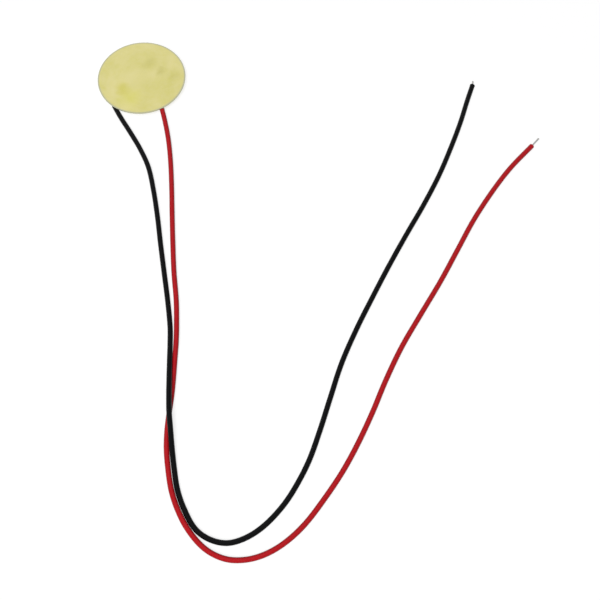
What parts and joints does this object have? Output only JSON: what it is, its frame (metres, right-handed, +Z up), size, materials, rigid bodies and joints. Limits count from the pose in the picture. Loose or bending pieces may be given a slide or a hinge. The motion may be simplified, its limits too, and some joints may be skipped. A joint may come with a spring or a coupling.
{
  "type": "piezo disc",
  "caption": "Round thin brass piezo element with a ceramic disc on its underside and long red and black insulated leads with stripped, tinned ends.",
  "frame": {"origin": "on the resting surface, under the middle of the brass plate", "axes": "+Z up, square to the brass face; the leads leave the plate towards -Y and lie out towards +X"},
  "size_m": [0.1345, 0.1622, 0.0031],
  "materials": {
    "brass": "rolled sheet, pale satin yellow with a faint mottled tarnish",
    "glue": "cured glue, amber grey",
    "piezo_ceramic": "bare fired ceramic, matte",
    "fired_silver": "fired silver, matte and faintly grained",
    "solder": "hand-made joint, bright with dull patches",
    "tinned_copper": "twisted strands, tinned",
    "black_insulation": "smooth gloss",
    "red_insulation": "smooth gloss"
  },
  "bodies": {
    "root": {"brass_plate": "brass", "glue_film": "glue", "ceramic_disc": "piezo_ceramic", "silver_electrode": "fired_silver", "black_solder_joint": "solder", "red_solder_joint": "solder", "black_bare_end": "tinned_copper", "red_bare_end": "tinned_copper", "black_lead": "black_insulation", "red_lead": "red_insulation", "black_tinned_tip": "tinned_copper", "red_tinned_tip": "tinned_copper"}
  },
  "joints": []
}
